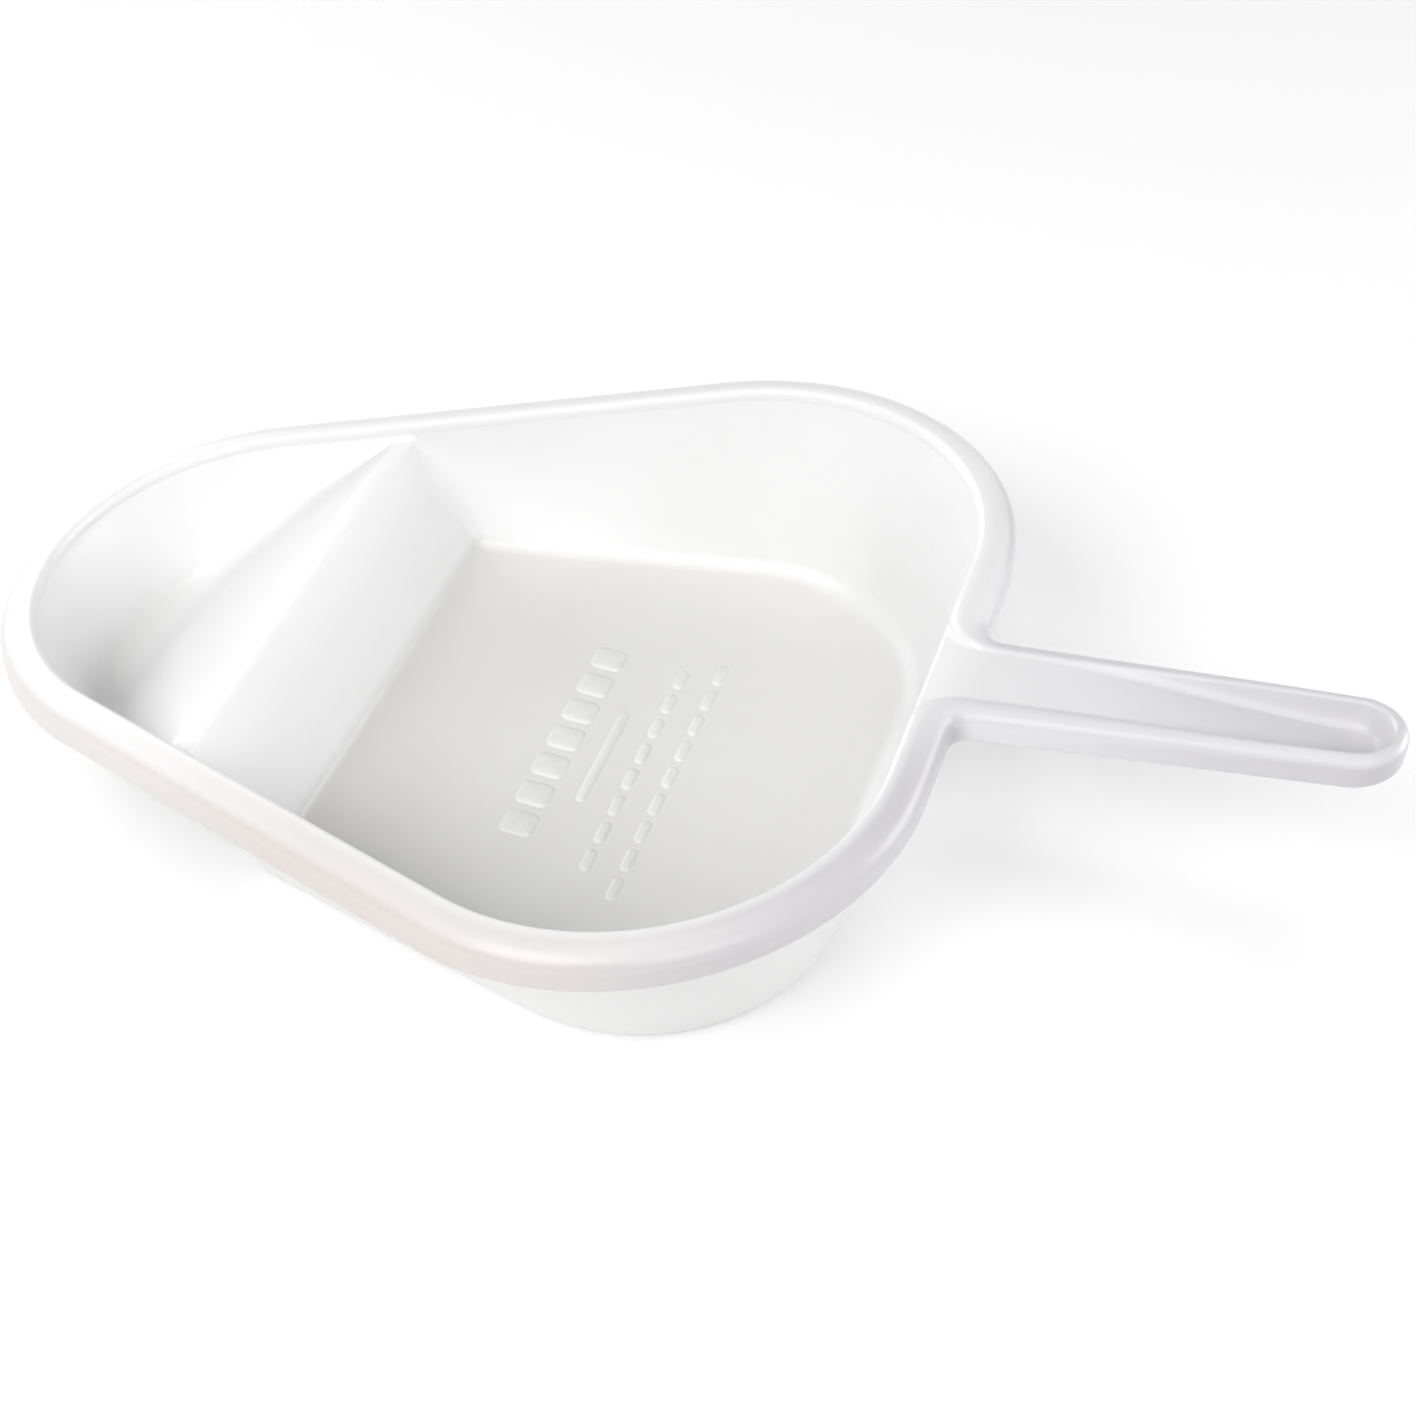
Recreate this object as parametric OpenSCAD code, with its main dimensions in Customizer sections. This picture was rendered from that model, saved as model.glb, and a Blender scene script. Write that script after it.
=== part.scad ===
// Slipper bedpan: a low nose that slides under the patient, a ramp over a dividing crown, a deep
// basin behind it, and a flat trough of a handle. It is one plastic moulding, drawn here as the
// floors, walls, rims and handle panels that it is formed of, each meeting the next face to face.
// +X runs from the nose to the handle, +Y is the left side and +Z is up. The origin lies on the
// surface that the pan stands on, under the middle of its overall length.

/* [Pan] */
// Length from the nose to the rear edge of the rim, without the handle
pan_length = 310; // [295:5:325]
// Width over the rim at its widest
pan_width = 267; // [260:1:275]
// Radius of the rim's outer edge round the nose
nose_radius = 82; // [78:1:86]
// Radius of the rim's outer edge round each rear corner
corner_radius = 87; // [80:1:94]
// Height of the rim's top at the nose
nose_height = 34.5; // [32:0.5:40]
// Height of the rim's top at its rear edge
rear_height = 76.5; // [70:0.5:84]
// Thickness of the moulding
wall = 2.5; // [2:0.1:2.8]

/* [Rim] */
// Width of the rim from the basin wall to the outer edge
rim_width = 12; // [11:0.5:14]
// Depth of the skirt that hangs from the rim's outer edge
skirt_depth = 12.5; // [11:0.5:15]
// Radius of the rim's outer shoulder
shoulder_radius = 6.5; // [4:0.5:7]
// Depth below the rim's top at which the basin wall takes over
lip_depth = 4; // [3:0.5:5]

/* [Basin] */
// Distance from the nose to the front edge of the basin floor
floor_front = 121.5; // [115:0.5:125]
// Distance from the nose to the rear edge of the basin floor
floor_rear = 285.5; // [278:0.5:286]
// Width of the basin floor along its front edge
floor_front_width = 159; // [150:1:164]
// Width of the basin floor at its widest
floor_width = 204; // [198:1:208]
// Radius of the basin floor's rear corners
floor_corner_radius = 58.5; // [50:0.5:62]
// How far the foot of the outer wall stands out beyond the floor's outline
base_margin = 2; // [1:0.1:2]

/* [Scoop and divider] */
// Radius of the scoop floor's curved front edge
scoop_radius = 54; // [50:0.5:58]
// Distance from the nose to the foot of the ramp
ramp_foot = 40; // [38:0.5:44]
// Distance from the nose to the front edge of the divider's crown
crown_front = 92.5; // [88:0.5:95]
// Length of the crown from front to back
crown_length = 6; // [4:0.5:8]
// How far the crown lies below the rim's top
crown_drop = 5.7; // [5:0.1:9]

/* [Handle] */
// Length of the handle from the rear edge of the rim to its tip
handle_length = 120; // [100:5:140]
// Width of the handle beside the rim
handle_root_width = 35; // [32:1:40]
// Width of the handle at the centre of its round tip
handle_tip_width = 28.6; // [26:0.2:32]
// Radius of the hollow corner where the handle meets the rim
root_radius = 6; // [5:0.5:9]
// How far the top of the handle's edge lies below the plane of the rim
edge_drop = 2.5; // [1:0.5:3]
// Radius of the handle's outer shoulder
edge_radius = 3.4; // [2.8:0.1:4]
// Width of the handle's edge from the outside to the trough
edge_width = 5.5; // [5:0.1:6.5]
// Depth of the trough's floor below the plane of the rim, at the tip
trough_depth = 10; // [8:0.5:10]

/* [Raised bars on the basin floor] */
// Height of the bars above the floor
bar_height = 0.6; // [0.4:0.1:1]

/* [Hidden] */

// Stations along each stretch of the left half, from the nose round to the handle
nose_steps = 10;
cheek_steps = 3;
flank_steps = 4;
corner_steps = 12;
root_steps = 5;
grip_steps = 6;
tip_steps = 15;

// Numbers of the stations where one stretch ends and the next begins
cheek_start = nose_steps;
flank_start = cheek_start + cheek_steps;
corner_start = flank_start + flank_steps;
corner_end = corner_start + corner_steps;
root_start = corner_end + 1;
rear_middle = root_start + 1;

// Centres of the arcs and the ends of the straight lines, seen from above
nose_x = -(pan_length + handle_length) / 2;
rear_x = nose_x + pan_length;
nose_centre = [nose_x + nose_radius, 0];
corner_centre = [rear_x - corner_radius, pan_width / 2 - corner_radius];
floor_corner = [nose_x + floor_front, floor_front_width / 2];
floor_rear_x = nose_x + floor_rear;
floor_corner_centre = [floor_rear_x - floor_corner_radius, floor_width / 2 - floor_corner_radius];
handle_start = [rear_x + root_radius, handle_root_width / 2];
root_centre = handle_start + [0, root_radius];
tip_radius = handle_tip_width / 2;
tip_centre = [rear_x + handle_length - tip_radius, 0];

// Rows of plain bars across the floor: [distance from the nose, middle of the row, how many,
// spacing, length, width]
bar_rows = [
    [184, 1.5, 7, 13, 10, 11],
    [198, -2, 1, 0, 42, 3.6],
    [209.5, -2.5, 8, 12, 9.4, 3.8],
    [221, -3.5, 9, 12.3, 9.7, 3.8],
];
bar_corner_radius = 2.4;

// Directions in which the straight sides of the rim and the floor face
function facing(c1, r1, c2, r2) =
    atan2(c2.y - c1.y, c2.x - c1.x) + acos((r1 - r2) / norm(c2 - c1));
rim_side = facing(nose_centre, nose_radius, corner_centre, corner_radius);
cheek_side = facing(nose_centre, scoop_radius, floor_corner, 0);
flank_side = facing(floor_corner, 0, floor_corner_centre, floor_corner_radius);

// Points along an arc and along a straight line, each without its first point
function polar(centre, r, a) = centre + r * [cos(a), sin(a)];
function arc(centre, r, from, to, steps) =
    [for (i = [1:steps]) polar(centre, r, from + (to - from) * i / steps)];
function mix(p, q, t) = p + (q - p) * t;
function line(p, q, steps) = [for (i = [1:steps]) mix(p, q, i / steps)];

// Height of the rim's plane, which rises from the nose to the rear
function rim_z(x) = nose_height + (rear_height - nose_height) * (x - nose_x) / pan_length;
function below_rim(p, drop) = [p.x, p.y, rim_z(p.x) - drop];
function lifted(p, z) = [p.x, p.y, z];
function mirrored(p) = [p.x, -p.y, p.z];

// Left half of an outline that runs s inside the rim's outer edge
function rim_line(s) =
    let (
        side_start = polar(nose_centre, nose_radius - s, rim_side),
        side_end = polar(corner_centre, corner_radius - s, rim_side),
        t = (floor_corner.x - side_start.x) / (side_end.x - side_start.x),
        side_split = mix(side_start, side_end, t),
        rear = [rear_x - s, root_centre.y]
    )
    concat(
        [polar(nose_centre, nose_radius - s, 180)],
        arc(nose_centre, nose_radius - s, 180, rim_side, nose_steps),
        line(side_start, side_split, cheek_steps),
        line(side_split, side_end, flank_steps),
        arc(corner_centre, corner_radius - s, rim_side, 0, corner_steps),
        [rear, [rear.x, 0]]
    );

// Left half of an outline that runs the given margin outside the floor's edge
function floor_line(margin) =
    let (
        cheek_end = polar(nose_centre, scoop_radius + margin, cheek_side),
        split = polar(floor_corner, margin, (cheek_side + flank_side) / 2),
        flank_end = polar(floor_corner_centre, floor_corner_radius + margin, flank_side),
        rear = [floor_rear_x + margin, root_centre.y]
    )
    concat(
        [polar(nose_centre, scoop_radius + margin, 180)],
        arc(nose_centre, scoop_radius + margin, 180, cheek_side, nose_steps),
        line(cheek_end, split, cheek_steps),
        line(split, flank_end, flank_steps),
        arc(floor_corner_centre, floor_corner_radius + margin, flank_side, 0, corner_steps),
        [rear, [rear.x, 0]]
    );

floor_edge = floor_line(0);
base_edge = floor_line(base_margin);
wall_top = [for (p = rim_line(rim_width)) below_rim(p, lip_depth)];
wall_top_back = [for (p = rim_line(rim_width - wall)) below_rim(p, lip_depth)];

// Side view of the divider: the upper face's corners, and the underside's a wall's thickness in
function crown_z(x) = rim_z(x) - crown_drop;
ramp_start = [nose_x + ramp_foot, wall];
crown_start = [nose_x + crown_front, crown_z(nose_x + crown_front)];
crown_end = crown_start + [crown_length, crown_z(crown_length) - crown_z(0)];
divider_foot = [nose_x + floor_front, wall];
function slope(p, q) = atan2(q.y - p.y, q.x - p.x);
function inset(p, before, after) = p + wall / cos((before - after) / 2)
    * [sin((before + after) / 2), -cos((before + after) / 2)];
ramp_slope = slope(ramp_start, crown_start);
crown_slope = slope(crown_start, crown_end);
divider_slope = slope(crown_end, divider_foot);
ramp_toe = [ramp_start.x + wall * tan(ramp_slope / 2), 0];
crown_start_under = inset(crown_start, ramp_slope, crown_slope);
crown_end_under = inset(crown_end, crown_slope, divider_slope);
divider_toe = [divider_foot.x + wall * tan(divider_slope / 2), 0];

// A solid sheet between two grids of points of one size: its face, and its back a wall away.
// Rows run along the edge of the pan. Quads before row mid are split along the other diagonal,
// so that the two sides of the pan are true mirror images.
module sheet(face, back, mid = 0) {
    rows = len(face);
    cols = len(face[0]);
    function id(side, i, j) = (side * rows + i) * cols + j;
    function quad(a, b, c, d, other) = other ? [[a, b, d], [b, c, d]] : [[a, b, c], [a, c, d]];
    cells = [for (i = [0:rows - 2], j = [0:cols - 2]) [i, j]];
    faces = concat(
        [for (c = cells) let (i = c.x, j = c.y) each
            quad(id(0, i, j), id(0, i, j + 1), id(0, i + 1, j + 1), id(0, i + 1, j), i < mid)],
        [for (c = cells) let (i = c.x, j = c.y) each
            quad(id(1, i, j), id(1, i + 1, j), id(1, i + 1, j + 1), id(1, i, j + 1), i < mid)],
        [for (i = [0:rows - 2]) each
            quad(id(0, i, 0), id(0, i + 1, 0), id(1, i + 1, 0), id(1, i, 0), false)],
        [for (i = [0:rows - 2], j = cols - 1) each
            quad(id(0, i, j), id(1, i, j), id(1, i + 1, j), id(0, i + 1, j), false)],
        [for (j = [0:cols - 2]) each
            quad(id(0, 0, j), id(1, 0, j), id(1, 0, j + 1), id(0, 0, j + 1), false)],
        [for (j = [0:cols - 2], i = rows - 1) each
            quad(id(0, i, j), id(0, i, j + 1), id(1, i, j + 1), id(1, i, j), false)]
    );
    points = [for (grid = [face, back], row = grid) each row];
    polyhedron(points, faces);
}

// Rows of the left half joined to their mirror images, for a sheet that crosses the middle
function across(rows) =
    concat([for (i = [len(rows) - 1:-1:1]) [for (p = rows[i]) mirrored(p)]], rows);
function back_across(rows) =
    concat(rows, [for (i = [len(rows) - 2:-1:0]) [for (p = rows[i]) mirrored(p)]]);

// Basin wall between two stations: straight from the floor's edge up to the underside of the rim
function wall_face(i) =
    [lifted(floor_edge[i], 0), lifted(floor_edge[i], wall), wall_top[i]];
function wall_back(i) =
    let (foot = lifted(base_edge[i], 0))
    [foot, mix(foot, wall_top_back[i], wall / wall_top[i].z), wall_top_back[i]];

// The space that the divider spans: everything inside the basin walls, down to the table
module cavity() {
    half = [for (i = [0:rear_middle]) wall_face(i)];
    ring = concat(half, [for (i = [rear_middle - 1:-1:1]) [for (p = half[i]) mirrored(p)]]);
    n = len(ring);
    function id(i, j) = (i % n) * 3 + j;
    sides = [for (i = [0:n - 1], j = [0:1]) each i < rear_middle
        ? [[id(i, j), id(i + 1, j + 1), id(i, j + 1)], [id(i, j), id(i + 1, j), id(i + 1, j + 1)]]
        : [[id(i, j), id(i + 1, j), id(i, j + 1)], [id(i, j + 1), id(i + 1, j), id(i + 1, j + 1)]]];
    caps = [[for (i = [n - 1:-1:0]) id(i, 0)], [for (i = [0:n - 1]) id(i, 2)]];
    polyhedron([for (column = ring) each column], concat(sides, caps));
}

// A side-view outline carried across the full width
module across_pan(outline) {
    rotate([90, 0, 0])
        linear_extrude(pan_width, center = true)
            polygon(outline);
}

// A panel of the divider, trimmed to the basin walls
module divider_panel(outline) {
    intersection() {
        across_pan(outline);
        cavity();
    }
}

// Part of the plate that closes the bottom, between two distances from the nose
module floor_plate(from, to) {
    outline = concat(floor_edge, [for (i = [rear_middle - 1:-1:1]) floor_edge[i] * [[1, 0], [0, -1]]]);
    intersection() {
        linear_extrude(wall)
            polygon(outline);
        translate([nose_x + from, -pan_width / 2, -wall])
            cube([to - from, pan_width, 3 * wall]);
    }
}

// The hollow under the divider, open through both sides below the rim
module under_divider() {
    across_pan([
        ramp_toe, crown_start_under, crown_end_under, divider_toe,
        divider_toe - [0, wall], ramp_toe - [0, wall]
    ]);
}

module basin_wall(face, back, mid = 0) {
    difference() {
        sheet(face, back, mid);
        under_divider();
    }
}

// Section of the rim or the handle's edge, as [distance in from the outer edge, drop]
// pairs from the inside outwards: over the top, round the shoulder and down the skirt
function edge_face(width, drop, radius, inner, run) =
    let (fall = inner - drop, fold = min(2, fall / 2))
    concat(
        [[width + run, inner], [width, drop + fall / 2]],
        [[width - 0.3 * fold, drop + 0.3 * fold], [width - fold, drop]],
        [for (a = [0:22.5:90]) [radius * (1 - sin(a)), drop + radius * (1 - cos(a))]],
        [[0, skirt_depth]]
    );
// The underside of that section, a wall's thickness in. Under the handle's trough, where run is
// more than 0, it turns up into the groove inside the skirt through three points, 0.9, 1.4 and
// 1.9 mm in from the edge's width, so that the wall stays near its full thickness all the way.
function edge_back(width, drop, radius, inner, run) =
    let (fall = inner - drop, r = max(radius - wall, 0.6))
    concat(
        run > 0
            ? [[width + run, inner + wall], [width - 0.9, drop + fall / 2 + wall + 0.1],
               [width - 1.4, drop + fall / 5 + wall + 0.1], [width - 1.9, drop + wall + 0.05]]
            : [[width - wall, inner], [width - wall, inner - 0.6],
               [width - wall - 0.2, wall + 0.3], [width - wall - 1, wall]],
        [for (a = [0:22.5:90]) [wall + r * (1 - sin(a)), drop + wall + r * (1 - cos(a))]],
        [[wall, skirt_depth]]
    );
rim_face_section = edge_face(rim_width, 0, shoulder_radius, lip_depth, 0);
rim_back_section = edge_back(rim_width, 0, shoulder_radius, lip_depth, 0);

// The rim's section set across the outline at one station
function rim_rows(section, from, to) =
    let (lines = [for (p = section) rim_line(p.x)])
    [for (i = [from:to]) [for (j = [0:len(section) - 1]) below_rim(lines[j][i], section[j].y)]];

// The trough's floor starts as deep as the rim's lip and falls away towards the tip
trough_run = 2.5;
trough_start = handle_start.x + 10;
function trough_drop(x) =
    mix(lip_depth, trough_depth, min(1, max(0, (x - trough_start) / (tip_centre.x - trough_start))));
function handle_half(x) =
    mix(handle_start.y, tip_radius, (x - handle_start.x) / (tip_centre.x - handle_start.x));

// Stations of the handle's edge, as [point, direction inwards, share of the handle's section]
root_stations = [for (i = [0:root_steps]) let (a = 180 + 90 * i / root_steps)
    [polar(root_centre, root_radius, a), [cos(a), sin(a)], i / root_steps]];
grip_stations = [for (i = [0:grip_steps]) let (x = mix(handle_start.x, tip_centre.x, i / grip_steps))
    [[x, handle_half(x)], [0, -1], 1]];
tip_stations = [for (i = [0:tip_steps]) let (a = 90 - 180 * i / tip_steps)
    [polar(tip_centre, tip_radius, a), [-cos(a), -sin(a)], 1]];

function handle_row(station, face) =
    let (
        inner = trough_drop(station[0].x),
        grip = face
            ? edge_face(edge_width, edge_drop, edge_radius, inner, trough_run)
            : edge_back(edge_width, edge_drop, edge_radius, inner, trough_run),
        rim = face ? rim_face_section : concat([[rim_width, lip_depth + wall]],
            [for (j = [1:len(rim_back_section) - 1]) rim_back_section[j]])
    )
    [for (j = [0:len(grip) - 1]) let (q = mix(rim[j], grip[j], station[2]))
        below_rim(station[0] + station[1] * q.x, q.y)];
function handle_rows(stations, face) = [for (s = stations) handle_row(s, face)];

module handle_sheet(stations) {
    sheet(handle_rows(stations, true), handle_rows(stations, false));
}

// Flat panel between the inner ends of the handle's two edges
module web(stations) {
    face = [for (row = handle_rows(stations, true)) [mirrored(row[0]), row[0]]];
    back = [for (row = handle_rows(stations, false)) [mirrored(row[0]), row[0]]];
    sheet(face, back);
}

module basin_floor() {
    color("gainsboro")
        floor_plate(floor_front, floor_rear);
}

// Rows of bars. A narrow bar's corner radius stays 0.05 mm short of half its width, so that its
// ends keep a flat and its outline never closes on itself.
module floor_bars() {
    color("whitesmoke")
        for (row = bar_rows)
            for (i = [0 : row[2] - 1])
                translate([nose_x + row[0], row[1] + (i - (row[2] - 1) / 2) * row[3], wall])
                    linear_extrude(bar_height)
                        rounded_bar(row[4], row[5], min(row[5] / 2 - 0.05, bar_corner_radius));
}

// A bar seen from above, its length along Y
module rounded_bar(length, width, radius)
    offset(radius, $fn = 24)
        square([width - 2 * radius, length - 2 * radius], center = true);

module scoop_floor() {
    color("gainsboro")
        floor_plate(0, ramp_foot);
}

module scoop_ramp() {
    color("ivory")
        divider_panel([
            [ramp_start.x, 0], ramp_start, crown_start, crown_start_under, ramp_toe
        ]);
}

module divider_crown() {
    color("white")
        divider_panel([crown_start, crown_end, crown_end_under, crown_start_under]);
}

module divider_wall() {
    color("whitesmoke")
        divider_panel([
            crown_end, divider_foot, [divider_foot.x, 0], divider_toe, crown_end_under
        ]);
}

module nose_wall() {
    color("ivory")
        basin_wall(
            across([for (i = [0:cheek_start]) wall_face(i)]),
            across([for (i = [0:cheek_start]) wall_back(i)]),
            cheek_start
        );
}

module left_side_wall() {
    color("whitesmoke")
        basin_wall(
            [for (i = [cheek_start:corner_start]) wall_face(i)],
            [for (i = [cheek_start:corner_start]) wall_back(i)]
        );
}

module right_side_wall() {
    mirror([0, 1, 0])
        left_side_wall();
}

module left_corner_wall() {
    color("whitesmoke")
        sheet(
            [for (i = [corner_start:root_start]) wall_face(i)],
            [for (i = [corner_start:root_start]) wall_back(i)]
        );
}

module right_corner_wall() {
    mirror([0, 1, 0])
        left_corner_wall();
}

// The short wall under the handle's root stops a wall's thickness lower than the others
module rear_wall() {
    function cut(column) = [column[0], column[1], mix(column[2], column[1], wall / column[2].z)];
    color("whitesmoke")
        sheet(
            back_across([for (i = [root_start:rear_middle]) cut(wall_face(i))]),
            back_across([for (i = [root_start:rear_middle]) cut(wall_back(i))])
        );
}

module nose_rim() {
    color("linen")
        sheet(
            across(rim_rows(rim_face_section, 0, cheek_start)),
            across(rim_rows(rim_back_section, 0, cheek_start)),
            cheek_start
        );
}

module left_rim() {
    color("linen")
        sheet(
            rim_rows(rim_face_section, cheek_start, corner_start),
            rim_rows(rim_back_section, cheek_start, corner_start)
        );
}

module right_rim() {
    mirror([0, 1, 0])
        left_rim();
}

module left_corner_rim() {
    color("linen")
        sheet(
            rim_rows(rim_face_section, corner_start, root_start),
            rim_rows(rim_back_section, corner_start, root_start)
        );
}

module right_corner_rim() {
    mirror([0, 1, 0])
        left_corner_rim();
}

module left_handle_root() {
    color("gainsboro")
        handle_sheet(root_stations);
}

module right_handle_root() {
    mirror([0, 1, 0])
        left_handle_root();
}

module left_handle_edge() {
    color("gainsboro")
        handle_sheet(grip_stations);
}

module right_handle_edge() {
    mirror([0, 1, 0])
        left_handle_edge();
}

module handle_tip() {
    color("gainsboro")
        handle_sheet(tip_stations);
}

module handle_root_web() {
    color("lightgray")
        web(root_stations);
}

module handle_trough_floor() {
    half_tip = [for (i = [1:(tip_steps - 1) / 2]) tip_stations[i]];
    color("lightgray")
        web(concat(grip_stations, half_tip));
}

basin_floor();
floor_bars();
scoop_floor();
scoop_ramp();
divider_crown();
divider_wall();
nose_wall();
left_side_wall();
right_side_wall();
left_corner_wall();
right_corner_wall();
rear_wall();
nose_rim();
left_rim();
right_rim();
left_corner_rim();
right_corner_rim();
left_handle_root();
right_handle_root();
left_handle_edge();
right_handle_edge();
handle_tip();
handle_root_web();
handle_trough_floor();
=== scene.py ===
import math

import bpy
import numpy as np
from mathutils import Matrix, Vector


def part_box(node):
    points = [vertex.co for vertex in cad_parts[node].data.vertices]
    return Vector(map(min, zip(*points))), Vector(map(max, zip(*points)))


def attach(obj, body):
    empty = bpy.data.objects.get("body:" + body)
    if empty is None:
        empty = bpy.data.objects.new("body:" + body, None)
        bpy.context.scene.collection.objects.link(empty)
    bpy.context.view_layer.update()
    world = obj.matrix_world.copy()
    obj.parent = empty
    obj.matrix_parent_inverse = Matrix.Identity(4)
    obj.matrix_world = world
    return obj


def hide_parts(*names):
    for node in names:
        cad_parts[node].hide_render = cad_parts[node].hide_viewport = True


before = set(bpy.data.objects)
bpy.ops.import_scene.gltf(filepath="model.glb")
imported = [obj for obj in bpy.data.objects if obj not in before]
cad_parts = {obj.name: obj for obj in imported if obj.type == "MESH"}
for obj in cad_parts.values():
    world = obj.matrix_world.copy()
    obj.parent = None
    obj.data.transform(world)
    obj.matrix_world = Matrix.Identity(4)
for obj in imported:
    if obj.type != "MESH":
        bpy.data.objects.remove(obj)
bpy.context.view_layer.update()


# ---------------------------------------------------------------------------------------------
# Camera. A long lens stands in front of the pan and a little to the handle's side of it, looking
# down at 44 degrees, so that the basin, the ramp behind the nose and the handle all show.
# ---------------------------------------------------------------------------------------------
camera_data = bpy.data.cameras.new("camera")
camera_data.sensor_width = 36.0
camera_data.lens = 58.29
camera_data.clip_start = 0.05
camera = bpy.data.objects.new("camera", camera_data)
bpy.context.scene.collection.objects.link(camera)
bpy.context.scene.camera = camera

azimuth, elevation, roll = math.radians(17.97), math.radians(44.35), math.radians(-1.49)
backwards = Vector((
    math.sin(azimuth) * math.cos(elevation),
    -math.cos(azimuth) * math.cos(elevation),
    math.sin(elevation),
))
level_right = Vector((math.cos(azimuth), math.sin(azimuth), 0.0))
level_up = backwards.cross(level_right)
right = level_right * math.cos(roll) - level_up * math.sin(roll)
up = level_right * math.sin(roll) + level_up * math.cos(roll)
turn = Matrix((right, up, backwards)).transposed().to_4x4()
camera_place = (0.17048, -0.47395, 0.52050)
camera.matrix_world = Matrix.Translation(camera_place) @ turn


# ---------------------------------------------------------------------------------------------
# Rim. The moulding's edge is rolled outwards into a crowned rim, 12 mm wide, from which a skirt
# hangs down. It runs round the nose, along both flanks and round the rear corners, where it ends
# at the handle. Its section is carried round the outline; it is hollow underneath.
# ---------------------------------------------------------------------------------------------
MM = 0.001

nose_lo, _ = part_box("nose_rim")
_, corner_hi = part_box("left_corner_rim")
_, tip_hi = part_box("handle_tip")
nose_x = nose_lo.x / MM
rear_x = corner_hi.x / MM
half_width = 133.45
nose_radius, corner_radius = 82.0, 87.0
nose_centre = np.array((nose_x + nose_radius, 0.0))
corner_centre = np.array((rear_x - corner_radius, half_width - corner_radius))
nose_height, rear_height = 34.45, 76.45
wall = 2.5
rim_width, lip_depth, skirt_depth = 12.0, 4.0, 12.5
fold_reach, fold_depth, shoulder_depth = 2.4, 3.4, 6.6
hem_radius = 0.9
hem_depth = skirt_depth - hem_radius
root_y = 23.5


def rim_z(x):
    """Height of the rim's plane: a straight rise from the nose to the rear."""
    return nose_height + (rear_height - nose_height) * (x - nose_x) / (rear_x - nose_x)


def facing(c1, r1, c2, r2):
    """Direction that the straight line touching two circles faces: the bearing from one centre
    to the other, turned by the arc cosine of the radii's difference over the distance."""
    gap = c2 - c1
    return math.atan2(gap[1], gap[0]) + math.acos((r1 - r2) / math.hypot(*gap))


def arc(centre, r, start, end, step=0.1):
    """Points on a circle, centre + r (cos a, sin a), for bearings a from start to end."""
    a = np.linspace(start, end, max(3, int(abs(end - start) * r / step)))
    return centre + r * np.stack((np.cos(a), np.sin(a)), 1)


def straight(p, q, step=0.1):
    """Evenly spaced points on the line from p to q."""
    t = np.linspace(0, 1, max(3, int(math.dist(p, q) / step)))[:, None]
    return np.asarray(p) * (1 - t) + np.asarray(q) * t


class Outline:
    """A line seen from above, met by distance along it. The outward direction at each place is
    the line's own direction turned a quarter to the left."""

    def __init__(self, stretches):
        points = np.concatenate([stretches[0]] + [s[1:] for s in stretches[1:]])
        steps = np.hypot(*np.diff(points, axis=0).T)
        self.points = points
        self.along = np.concatenate(([0.0], np.cumsum(steps)))
        ends = np.cumsum([len(s) - 1 for s in stretches])
        self.marks = self.along[ends]
        heading = np.unwrap(np.arctan2(*np.gradient(points, axis=0).T[::-1]))
        self.heading = heading

    def at(self, distance, outwards=0.0):
        """Points at these distances, moved outwards by the amount given."""
        x = np.interp(distance, self.along, self.points[:, 0])
        y = np.interp(distance, self.along, self.points[:, 1])
        a = np.interp(distance, self.along, self.heading) + math.pi / 2
        return np.stack((x + outwards * np.cos(a), y + outwards * np.sin(a)), -1)


rim_side = facing(nose_centre, nose_radius, corner_centre, corner_radius)
side_bearing = np.array((math.cos(rim_side), math.sin(rim_side)))
rim_edge = Outline([
    arc(nose_centre, nose_radius, math.pi, rim_side),
    straight(nose_centre + nose_radius * side_bearing, corner_centre + corner_radius * side_bearing),
    arc(corner_centre, corner_radius, rim_side, 0.0),
    straight((rear_x, corner_centre[1]), (rear_x, root_y)),
    straight((rear_x, root_y), (rear_x, 0.0)),
])


def quarter(centre, reach, drop, start, end, count):
    """Part of an ellipse in section: centre + (reach cos a, drop sin a), bearings in degrees."""
    a = np.radians(np.linspace(start, end, count + 1)[1:])
    return np.stack((centre[0] + reach * np.cos(a), centre[1] + drop * np.sin(a)), 1)


def down_line(p, q, count):
    """Evenly spaced points of a section from p to q, without p."""
    t = np.linspace(0, 1, count + 1)[1:, None]
    return np.asarray(p) * (1 - t) + np.asarray(q) * t


# Sections are pairs of distance in from the outer edge and drop below the rim's plane. They go
# from the basin outwards: up the fold, over the crest, down the skirt and round its bottom edge.
crest_in = rim_width - fold_reach
rim_face = np.concatenate((
    [(rim_width, lip_depth)],
    down_line((rim_width, lip_depth), (rim_width, fold_depth), 2),
    quarter((crest_in, fold_depth), fold_reach, -fold_depth, 0, 90, 8),
    quarter((crest_in, shoulder_depth), crest_in, -shoulder_depth, 90, 180, 18),
    down_line((0.0, shoulder_depth), (0.0, hem_depth), 4),
    quarter((hem_radius, hem_depth), hem_radius, hem_radius, 180, 90, 4),
))
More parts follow.
